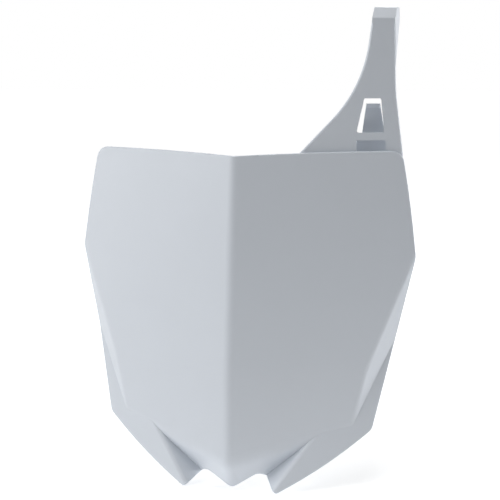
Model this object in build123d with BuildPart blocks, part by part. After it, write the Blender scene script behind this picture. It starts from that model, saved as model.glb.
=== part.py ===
import os

from build123d import *

# Racing number board for the front of a motorbike, moulded as one piece.
# X runs across, the front faces -Y and Z is up as the board is mounted.
# The origin is the middle of the bolt hole in the rear lug.

# Overall sizes in millimetres
wall = 2.6
top_z = 120.0          # top edge at the keel
keel_y = -26.0         # keel front at the top edge
half_top = 108.0       # half width at the top corners
half_wide = 119.4      # half width at the widest point
half_low = 94.0        # half width at the lower wing corners
half_tip = 32.6        # half width between the wing tips
corner_rise = 1.9      # top corners above the keel
wide_drop = 70.0       # widest point below the top edge
tip_drop = 227.6       # wing tips below the top edge
low_rise = 40.8        # lower wing corners above the wing tips
keel_fall = 1.6        # lower end of the keel below the wing tips
notch_rise = 10.0      # top of the notch beside each wing tip, above that tip
notch_half = 18.0      # from the keel to the top of each notch
top_corner_r = 9.0
wide_r = 16.0
low_corner_r = 7.0
tip_r = 2.2
notch_r = 5.0
keel_tip_r = 5.0
top_bow = 0.7          # how far the straight-looking edges bow out
side_bow = 0.8
lower_bow = 2.3

# Slopes of the faces: how far a face goes back per mm outward and per mm upward
facet_out = 0.362
facet_lean = 0.13
lower_lean = 0.03
riser_out = 1.00
wing_out = 0.34
wing_lean = 0.18
chin_slope = 0.27      # rise of the turned-back lower margin per mm outward
chin_steep = 0.7       # how steeply it turns back
ridge_slope = 0.735    # outward run of the ridge along each wing per mm of height
step_steep = 2.0       # how steeply the step inside the ridge goes back

# Face positions
break_drop = 143.0     # soft level break across the shield
chin_rise = 20.0       # where the lower margin leaves the keel, above the wing tips
side_inset = 1.3       # upper end of the shield's side edge inside the widest point
side_low_half = 73.8   # lower end of that edge
side_low_rise = 42.6
ridge_half = 55.0      # a point on the ridge along the inner edge of each wing
ridge_rise = 36.1
ridge_proud = 0.33     # ridge in front of the shield's own plane there

# Rounding radii on the front
keel_r = 9.0
break_r = 60.0
chin_r = 20.0
side_r = 7.0
ridge_r = 3.4
rim_r = 0.9

# Stock block that the faces are cut from
block_margin = 40.0
block_half = half_wide + block_margin
block_front = keel_y - 2 * block_margin
block_back = block_margin - keel_y
block_low = top_z - tip_drop - block_margin
block_high = top_z + block_margin

# Arm behind the right-hand top corner: distances outward and up in its own plane
arm_t = 3.6
arm_sink = 0.4         # how far its root is sunk into the back of the shield
root_left = 38.0
root_right = 115.0
root_low = -28.0
left_knee = 87.3       # where the sloping left edge turns upright
left_knee_up = 44.6
left_knee_r = 92.0
right_edge = 110.4
right_knee_up = 42.0
right_knee_r = 150.0
arm_up = 90.5          # where the hooked tip begins
tip_left = 94.6
arm_edge_r = 1.2

# Windows in the arm, one above the other with a bar between them
window_low = 14.4
window_high = 37.3
window_low_left = 82.8
window_low_right = 102.2
window_high_left = 88.5
window_high_right = 100.3
slot_left = 82.8
slot_right = 103.4
slot_high = 9.4
slot_low = -8.0
window_r = 1.2

# Hooked tip and the gusset along its right side
hook_rise = 7.8
hook_back = 14.0
hook_lip = 8.0
hook_r = 2.5
gusset_t = 2.4
gusset_low = 60.0
tip_turn = 9.0         # degrees outward of straight back

# Spring tongue behind the windows
tongue_gap = 8.6
tongue_t = 2.4
tongue_up = 33.5
tongue_top_left = 88.9
tongue_top_right = 98.5
tongue_neck_left = 85.4
tongue_neck_right = 101.6
tongue_root_left = 80.5
tongue_root_right = 104.2
shoulder_up = 11.8     # where the wide root ends at the neck
barb_out = 2.2
barb_rise = 3.0

# Rear lug with its two ribs
bolt_hole_d = 6.6
lug_half = 11.0
lug_t = 5.0
rib_t = 2.6
rib_half = 7.5
rib_rise = 28.0
rib_back = -9.0


def keel_at(z):
    """Front of the keel at a height, above the turned-back margin."""
    break_z = top_z - break_drop
    upper_y = keel_y + facet_lean * (max(z, break_z) - top_z)
    return upper_y + lower_lean * (min(z, break_z) - break_z)


def face(out, lean, point):
    """Plane through a point that goes back by out per mm of X and by lean per mm of Z."""
    return Plane(origin=point, z_dir=(out, -1, lean))


# Faces of the right-hand half
low_z = top_z - tip_drop
chin_z = low_z + chin_rise
chin_len = (1 + chin_slope**2) ** 0.5
chin_face = face(
    facet_out + chin_steep * chin_slope / chin_len,
    lower_lean - chin_steep / chin_len,
    (0, keel_at(chin_z), chin_z),
)
side_z = top_z - wide_drop
side_x = half_wide - side_inset
side_y = keel_at(side_z) + facet_out * side_x
side_slope = (side_x - side_low_half) / (side_z - low_z - side_low_rise)
riser_lean = facet_lean - (riser_out - facet_out) * side_slope
riser_face = face(riser_out, riser_lean, (side_x, side_y, side_z))
ridge_z = low_z + ridge_rise
ridge_y = keel_at(ridge_z) + facet_out * ridge_half - ridge_proud
wing_face = face(wing_out, wing_lean, (ridge_half, ridge_y, ridge_z))
ridge_len = (1 + ridge_slope**2) ** 0.5
step_face = face(
    wing_out - step_steep / ridge_len,
    wing_lean + step_steep * ridge_slope / ridge_len,
    (ridge_half, ridge_y, ridge_z),
)
side_cut = Plane(origin=(side_x, 0, side_z), z_dir=(1, 0, -side_slope))
facet_stretch = (1 + facet_out**2 + facet_lean**2) ** 0.5

# Front of the arm, parallel to the right facet: X outward, Y up, Z to the front
arm_plane = Plane(
    origin=(0, keel_y + (wall - arm_sink) * facet_stretch, top_z),
    x_dir=(1, facet_out, 0),
    z_dir=(facet_out, -1, facet_lean),
)


def lies_on(plane):
    """Filter for edges that lie on a plane."""
    def test(edge):
        return all(abs(plane.to_local_coords(edge @ t).Z) < 0.001 for t in (0.1, 0.5, 0.9))
    return test


def is_inner(edge):
    """Filter for edges away from the outside of the stock block."""
    middle = edge @ 0.5
    return (
        abs(middle.X) < block_half - 1
        and block_low + 1 < middle.Z < block_high - 1
        and middle.Y < block_back - 1
    )


def stock():
    """Plain block in the current part."""
    with Locations((0, block_back, block_low)):
        Box(
            2 * block_half,
            block_back - block_front,
            block_high - block_low,
            align=(Align.CENTER, Align.MAX, Align.MIN),
        )


def shield_half(depth):
    """Everything behind the right-hand shield faces, set back by depth."""
    chin = chin_face.offset(-depth)
    riser = riser_face.offset(-depth)
    break_z = top_z - break_drop
    with BuildPart() as half:
        with BuildSketch(Plane.YZ.offset(-2 * block_half)) as side:
            shift = depth * facet_stretch - 2 * block_half * facet_out
            with Locations((shift, 0)):
                Polygon(
                    (keel_at(block_high), block_high),
                    (keel_at(break_z), break_z),
                    (keel_at(block_low), block_low),
                    (2 * block_half, block_low),
                    (2 * block_half, block_high),
                    align=None,
                )
            fillet(side.vertices().filter_by_position(Axis.Y, break_z - 1, break_z + 1), break_r)
        extrude(amount=4 * block_half, dir=(1, facet_out, 0))
        split(bisect_by=chin, keep=Keep.BOTTOM)
        fillet(half.edges().filter_by(lies_on(chin)).filter_by(is_inner), chin_r - depth)
        split(bisect_by=riser, keep=Keep.BOTTOM)
        fillet(half.edges().filter_by(lies_on(riser)).filter_by(is_inner), side_r - depth)
    return half.part


def wing_half(depth):
    """Everything behind the right-hand wing, set back by depth."""
    wing = wing_face.offset(-depth)
    step = step_face.offset(-depth)
    with BuildPart() as flank:
        stock()
        split(bisect_by=wing, keep=Keep.BOTTOM)
        split(bisect_by=side_cut, keep=Keep.TOP)
    with BuildPart() as half:
        stock()
        split(bisect_by=wing, keep=Keep.BOTTOM)
        split(bisect_by=step, keep=Keep.BOTTOM)
        fillet(half.edges().filter_by(lies_on(wing)).filter_by(lies_on(step)), ridge_r - depth)
        add(flank.part)
    return half.part


def mould(depth):
    """Everything behind the whole front skin, set back by depth."""
    shield = shield_half(depth)
    wing = wing_half(depth)
    with BuildPart() as body:
        add(shield)
        mirror(shield, about=Plane.YZ, mode=Mode.INTERSECT)
        fillet(body.edges().filter_by(lies_on(Plane.YZ)).filter_by(is_inner), keel_r - depth)
        add(wing)
        mirror(wing, about=Plane.YZ)
    return body.part


skin_front = mould(0)
skin_back = mould(wall)

# Arm with its windows, hooked tip and spring tongue
back = Vector(0, 1, 0)
tip_back = back.rotate(Axis.Z, -tip_turn)
hook_plane = Plane(
    origin=arm_plane.from_local_coords((tip_left, arm_up, 0)),
    x_dir=tip_back,
    z_dir=tip_back.cross(arm_plane.y_dir),
)
gusset_plane = Plane(
    origin=arm_plane.from_local_coords((right_edge, arm_up, 0)),
    x_dir=tip_back,
    z_dir=tip_back.cross(arm_plane.y_dir),
)
hook_path = (hook_rise, hook_rise), (hook_back, hook_rise), (hook_back, hook_rise - hook_lip)


def arm_at(depth):
    """Arm's plane moved straight back."""
    return Plane(arm_plane.origin + back * depth, arm_plane.x_dir, arm_plane.z_dir)


def is_upright(edge):
    """Filter for edges of the arm between the shield and the hooked tip."""
    return 0 < arm_plane.to_local_coords(edge @ 0.5).Y < arm_up - 1


with BuildPart() as arm:
    with BuildSketch(arm_plane) as blade:
        corner_up = left_knee_up - left_knee + root_left
        Polygon(
            (root_left, corner_up),
            (root_left + corner_up - root_low, root_low),
            (root_right, root_low),
            (root_right, 0),
            (right_edge, right_knee_up),
            (right_edge, arm_up),
            (tip_left, arm_up),
            (left_knee, left_knee_up),
            align=None,
        )
        fillet(blade.vertices().sort_by_distance((left_knee, left_knee_up))[0], left_knee_r)
        fillet(blade.vertices().sort_by_distance((right_edge, right_knee_up))[0], right_knee_r)
    extrude(amount=arm_t, dir=back)
    fillet(arm.edges().filter_by(lies_on(arm_plane)).filter_by(is_upright), arm_edge_r)

    # Hooked tip
    with BuildSketch(hook_plane) as hook:
        start = arm_plane.from_local_coords((tip_left, arm_up - arm_t, 0))
        below = hook_plane.to_local_coords(start)
        with BuildLine():
            Polyline((below.X, below.Y), (0, 0), *hook_path)
            offset(amount=arm_t, side=Side.RIGHT)
        make_face()
        fillet(hook.vertices().sort_by_distance((0, 0))[0], hook_r)
        fillet(hook.vertices().sort_by_distance((hook_rise, hook_rise))[0], hook_r)
    extrude(amount=right_edge - tip_left, dir=arm_plane.x_dir)

    # Gusset on the right of the hook
    with BuildSketch(gusset_plane) as gusset:
        start = arm_plane.from_local_coords((right_edge, gusset_low, 0))
        below = gusset_plane.to_local_coords(start)
        Polygon(
            (below.X + arm_edge_r, below.Y),
            (arm_edge_r, 0),
            *hook_path,
            align=None,
        )
        fillet(gusset.vertices().sort_by_distance((hook_rise, hook_rise))[0], hook_r)
    extrude(amount=-gusset_t)

    # Windows
    with BuildSketch(arm_plane) as windows:
        Polygon(
            (window_low_left, window_low),
            (window_low_right, window_low),
            (window_high_right, window_high),
            (window_high_left, window_high),
            align=None,
        )
        with Locations((slot_left, slot_low)):
            Rectangle(
                slot_right - slot_left,
                slot_high - slot_low,
                align=(Align.MIN, Align.MIN),
            )
        fillet(windows.vertices(), window_r)
    extrude(amount=arm_t, dir=back, mode=Mode.SUBTRACT)

    # Tongue, its foot and the barb at its top
    tongue_depth = arm_t + tongue_gap
    with BuildSketch(arm_at(tongue_depth)):
        Polygon(
            (tongue_root_left, slot_low - tongue_t),
            (tongue_root_right, slot_low - tongue_t),
            (tongue_root_right, shoulder_up),
            (tongue_neck_right, shoulder_up),
            (tongue_top_right, tongue_up),
            (tongue_top_left, tongue_up),
            (tongue_neck_left, shoulder_up),
            (tongue_root_left, shoulder_up),
            align=None,
        )
    extrude(amount=tongue_t, dir=back)
    with BuildSketch(arm_at(arm_t / 2)):
        with Locations((tongue_root_left, slot_low)):
            Rectangle(
                tongue_root_right - tongue_root_left,
                tongue_t,
                align=(Align.MIN, Align.MAX),
            )
    extrude(amount=tongue_depth + tongue_t - arm_t / 2, dir=back)
    barb_plane = Plane(
        origin=arm_at(tongue_depth).from_local_coords((tongue_top_left, tongue_up, 0)),
        x_dir=hook_plane.x_dir,
        z_dir=hook_plane.z_dir,
    )
    with BuildSketch(barb_plane):
        Polygon(
            (0, 0),
            (-barb_out, -barb_rise),
            (tongue_t / 2, -barb_rise),
            (tongue_t / 2, 0),
            align=None,
        )
    extrude(amount=tongue_top_right - tongue_top_left, dir=arm_plane.x_dir)

with BuildPart() as board:
    add(skin_front)

    # Front outline
    with BuildSketch(Plane.XZ) as outline:
        keel_tip = (0, low_z - keel_fall)
        notch = (notch_half, low_z + notch_rise)
        tip = (half_tip, low_z)
        low = (half_low, low_z + low_rise)
        wide = (half_wide, top_z - wide_drop)
        corner = (half_top, top_z + corner_rise)
        top = (0, top_z)
        with BuildLine():
            Line(notch, tip)
            SagittaArc(tip, low, -lower_bow)
            Line(low, wide)
            SagittaArc(wide, corner, -side_bow)
            SagittaArc(corner, top, -top_bow)
            Polyline(top, keel_tip, notch)
        make_face()
        for place, radius in (
            (notch, notch_r),
            (tip, tip_r),
            (low, low_corner_r),
            (wide, wide_r),
            (corner, top_corner_r),
        ):
            fillet(outline.vertices().sort_by_distance(place)[0], radius)
        mirror(about=Plane.YZ)
        fillet(outline.vertices().sort_by_distance(keel_tip)[0], keel_tip_r)
    extrude(amount=2 * block_half, both=True, mode=Mode.INTERSECT)
    sides = board.faces().filter_by(lambda side: abs(side.normal_at().Y) < 0.001)
    rim = sides.edges().filter_by(Axis.Y, reverse=True).filter_by(is_inner)
    fillet(rim, rim_r)

    # Hollow back
    add(skin_back, mode=Mode.SUBTRACT)

    add(arm.part)

    # Rear lug and its ribs
    mid_wall = wall / 2 * facet_stretch
    lug_front = keel_at(0) + mid_wall
    with BuildSketch(Plane.XY):
        with BuildLine():
            Polyline(
                (lug_half, 0),
                (lug_half, lug_front + facet_out * lug_half),
                (0, lug_front),
                (-lug_half, lug_front + facet_out * lug_half),
                (-lug_half, 0),
            )
            ThreePointArc((-lug_half, 0), (0, lug_half), (lug_half, 0))
        make_face()
    extrude(amount=lug_t / 2, both=True)
    Hole(bolt_hole_d / 2)
    rib_front = mid_wall + facet_out * rib_half
    with BuildSketch(Plane.YZ.offset(rib_half), Plane.YZ.offset(-rib_half)):
        Polygon(
            (keel_at(0) + rib_front, 0),
            (rib_back, 0),
            (rib_back, lug_t / 2),
            (keel_at(rib_rise) + rib_front + wall, rib_rise),
            (keel_at(rib_rise) + rib_front, rib_rise),
            align=None,
        )
    extrude(amount=rib_t / 2, both=True)

board.part.label = "number_board"

os.makedirs("parts", exist_ok=True)
export_step(board.part, "parts/number_board.step")
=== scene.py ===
import bpy
from mathutils import Matrix, Vector


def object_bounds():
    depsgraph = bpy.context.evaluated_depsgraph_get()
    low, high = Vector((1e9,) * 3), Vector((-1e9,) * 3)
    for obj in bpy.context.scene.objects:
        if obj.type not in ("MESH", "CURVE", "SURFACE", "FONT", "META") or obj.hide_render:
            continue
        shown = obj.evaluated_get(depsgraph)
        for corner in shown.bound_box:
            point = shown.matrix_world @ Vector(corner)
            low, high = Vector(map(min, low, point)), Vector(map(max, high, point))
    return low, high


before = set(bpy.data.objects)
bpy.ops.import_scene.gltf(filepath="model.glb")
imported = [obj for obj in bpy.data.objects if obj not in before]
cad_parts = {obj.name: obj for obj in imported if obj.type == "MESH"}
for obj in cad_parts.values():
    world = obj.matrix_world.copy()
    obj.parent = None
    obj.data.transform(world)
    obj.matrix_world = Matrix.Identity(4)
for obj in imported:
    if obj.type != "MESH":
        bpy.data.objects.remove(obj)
cad_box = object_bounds()
scene = bpy.context.scene
scene.view_settings.view_transform = "Standard"

# Lengths are in metres, powers in watts.

# Board
PLASTIC = (0.668, 0.708, 0.763)
PLASTIC_IOR = 1.49
TINT_SPREAD = 0.015          # how far the tint strays either way
ROUGHNESS = (0.30, 0.40)
GRAIN_DEPTH = 0.0002

# Floor
FLOOR_Z = cad_box[0].z
FLOOR_REACH = 12.0
FLOOR_COLOUR = (0.85, 0.85, 0.85, 1.0)
GLOW_RADII = (0.15, 1.1)     # where the seen floor goes from pale to white
GLOW_LEVELS = (0.5, 1.0)
POOL_RADII = (0.2, 0.7)      # where the light that the floor sends up fades out

# Lamps
SOFT_BOX = 0.7
SMALL_BOX = 0.3
LAMP_TARGET = Vector((0.0, 0.0, 0.03))

# Camera, as in the photograph
LENS_MM = 72.0
SENSOR_MM = 36.0
CAMERA_PLACE = (0.15054, -0.6671, 0.1771)
CAMERA_RIGHT = Vector((0.9773, 0.2118, 0.0002))
CAMERA_FORWARD = Vector((-0.2084, 0.9615, -0.1791)).normalized()


def new_material(name):
    """Empty node material and its output node."""
    material = bpy.data.materials.new(name)
    material.use_nodes = True
    tree = material.node_tree
    tree.nodes.clear()
    return material, tree, tree.nodes.new("ShaderNodeOutputMaterial")


def noise(tree, coords, scale, detail):
    """Noise over the object's own coordinates."""
    node = tree.nodes.new("ShaderNodeTexNoise")
    node.inputs["Scale"].default_value = scale
    node.inputs["Detail"].default_value = detail
    tree.links.new(coords, node.inputs["Vector"])
    return node.outputs["Fac"]


def remap(tree, value, source, target):
    """Value taken from one range to another and held at the ends."""
    node = tree.nodes.new("ShaderNodeMapRange")
    node.inputs["From Min"].default_value, node.inputs["From Max"].default_value = source
    node.inputs["To Min"].default_value, node.inputs["To Max"].default_value = target
    tree.links.new(value, node.inputs["Value"])
    return node.outputs["Result"]


def larger(tree, first, second):
    """The larger of two values."""
    node = tree.nodes.new("ShaderNodeMath")
    node.operation = "MAXIMUM"
    tree.links.new(first, node.inputs[0])
    tree.links.new(second, node.inputs[1])
    return node.outputs[0]


def seen_directly(tree):
    """1 for camera, glossy and transmission rays, 0 for the rest."""
    path = tree.nodes.new("ShaderNodeLightPath").outputs
    seen = larger(tree, path["Is Camera Ray"], path["Is Glossy Ray"])
    return larger(tree, seen, path["Is Transmission Ray"])


def white_plastic():
    """Moulded white plastic with an even satin gloss and a fine grain."""
    material, tree, output = new_material("moulded_white_plastic")
    shader = tree.nodes.new("ShaderNodeBsdfPrincipled")
    shader.inputs["IOR"].default_value = PLASTIC_IOR
    coords = tree.nodes.new("ShaderNodeTexCoord").outputs["Object"]

    tint = tree.nodes.new("ShaderNodeMix")
    tint.data_type = "RGBA"
    for socket, share in (("A", 1 - TINT_SPREAD), ("B", 1 + TINT_SPREAD)):
        tint.inputs[socket].default_value = [share * c for c in PLASTIC] + [1.0]
    tree.links.new(noise(tree, coords, 18.0, 3.0), tint.inputs["Factor"])
    tree.links.new(tint.outputs["Result"], shader.inputs["Base Color"])

    gloss = remap(tree, noise(tree, coords, 60.0, 5.0), (0.3, 0.7), ROUGHNESS)
    tree.links.new(gloss, shader.inputs["Roughness"])

    bump = tree.nodes.new("ShaderNodeBump")
    bump.inputs["Strength"].default_value = 0.05
    bump.inputs["Distance"].default_value = GRAIN_DEPTH
    tree.links.new(noise(tree, coords, 1400.0, 2.0), bump.inputs["Height"])
    tree.links.new(bump.outputs["Normal"], shader.inputs["Normal"])
    tree.links.new(shader.outputs["BSDF"], output.inputs["Surface"])
    return material


def pale_floor(bounce):
    """White floor that keeps a faint shadow and, near the board, sends light up."""
    material, tree, output = new_material("pale_floor")
    diffuse = tree.nodes.new("ShaderNodeBsdfDiffuse")
    diffuse.inputs["Color"].default_value = FLOOR_COLOUR
    coords = tree.nodes.new("ShaderNodeTexCoord").outputs["Object"]
    reach = tree.nodes.new("ShaderNodeVectorMath")
    reach.operation = "LENGTH"
    tree.links.new(coords, reach.inputs[0])
    away = reach.outputs["Value"]

    level = tree.nodes.new("ShaderNodeMapRange")
    tree.links.new(seen_directly(tree), level.inputs["Value"])
    tree.links.new(remap(tree, away, POOL_RADII, (bounce, 0.0)), level.inputs["To Min"])
    tree.links.new(remap(tree, away, GLOW_RADII, GLOW_LEVELS), level.inputs["To Max"])
    light = tree.nodes.new("ShaderNodeEmission")
    tree.links.new(level.outputs["Result"], light.inputs["Strength"])
    both = tree.nodes.new("ShaderNodeAddShader")
    tree.links.new(diffuse.outputs[0], both.inputs[0])
    tree.links.new(light.outputs[0], both.inputs[1])
    tree.links.new(both.outputs[0], output.inputs["Surface"])
    return material


def add_floor(bounce):
    """Wide floor at the foot of the board."""
    mesh = bpy.data.meshes.new("floor")
    corners = [(-1, -1), (1, -1), (1, 1), (-1, 1)]
    points = [(x * FLOOR_REACH, y * FLOOR_REACH, FLOOR_Z) for x, y in corners]
    mesh.from_pydata(points, [], [(0, 1, 2, 3)])
    mesh.materials.append(pale_floor(bounce))
    floor = bpy.data.objects.new("floor", mesh)
    scene.collection.objects.link(floor)


def add_world(strength):
    """Even white surround: plain white where it is seen, softer as light."""
    world = bpy.data.worlds.new("studio")
    world.use_nodes = True
    tree = world.node_tree
    tree.nodes.clear()
    output = tree.nodes.new("ShaderNodeOutputWorld")
    background = tree.nodes.new("ShaderNodeBackground")
    background.inputs["Color"].default_value = (1.0, 1.0, 1.0, 1.0)
    level = remap(tree, seen_directly(tree), (0.0, 1.0), (strength, 1.0))
    tree.links.new(level, background.inputs["Strength"])
    tree.links.new(background.outputs[0], output.inputs["Surface"])
    scene.world = world


def add_lamp(name, place, size, power, glare=True):
    """Square soft box facing the board, with or without its own reflection."""
    data = bpy.data.lights.new(name, "AREA")
    data.shape = "SQUARE"
    data.size = size
    data.energy = power
    lamp = bpy.data.objects.new(name, data)
    lamp.location = place
    lamp.rotation_mode = "QUATERNION"
    lamp.rotation_quaternion = (LAMP_TARGET - lamp.location).to_track_quat("-Z", "Y")
    lamp.visible_camera = False
    lamp.visible_glossy = glare
    scene.collection.objects.link(lamp)


def add_camera():
    """Camera at the photograph's place, with no shift."""
    data = bpy.data.cameras.new("camera")
    data.lens = LENS_MM
    data.sensor_width = SENSOR_MM
    data.clip_start = 0.05
    data.clip_end = 50.0
    camera = bpy.data.objects.new("camera", data)
    forward = CAMERA_FORWARD
    right = (CAMERA_RIGHT - forward * CAMERA_RIGHT.dot(forward)).normalized()
    turn = Matrix((right, right.cross(forward), -forward)).transposed()
    camera.matrix_world = Matrix.Translation(CAMERA_PLACE) @ turn.to_4x4()
    scene.collection.objects.link(camera)
    scene.camera = camera


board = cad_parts["number_board"]
board.data.materials.clear()
board.data.materials.append(white_plastic())

add_floor(bounce=0.45)
add_world(strength=0.01)
add_lamp("front_left", (-0.9, -0.9, 0.6), SOFT_BOX, 4.8)
add_lamp("left", (-1.2, -0.3, 0.3), SOFT_BOX, 4.1)
add_lamp("right", (1.0, 0.35, 0.0), SMALL_BOX, 8.2, glare=False)
add_lamp("top", (0.0, -0.2, 1.3), SOFT_BOX, 7.7)
add_lamp("top_back", (0.0, 0.8, 1.1), SOFT_BOX, 5.0)
add_camera()
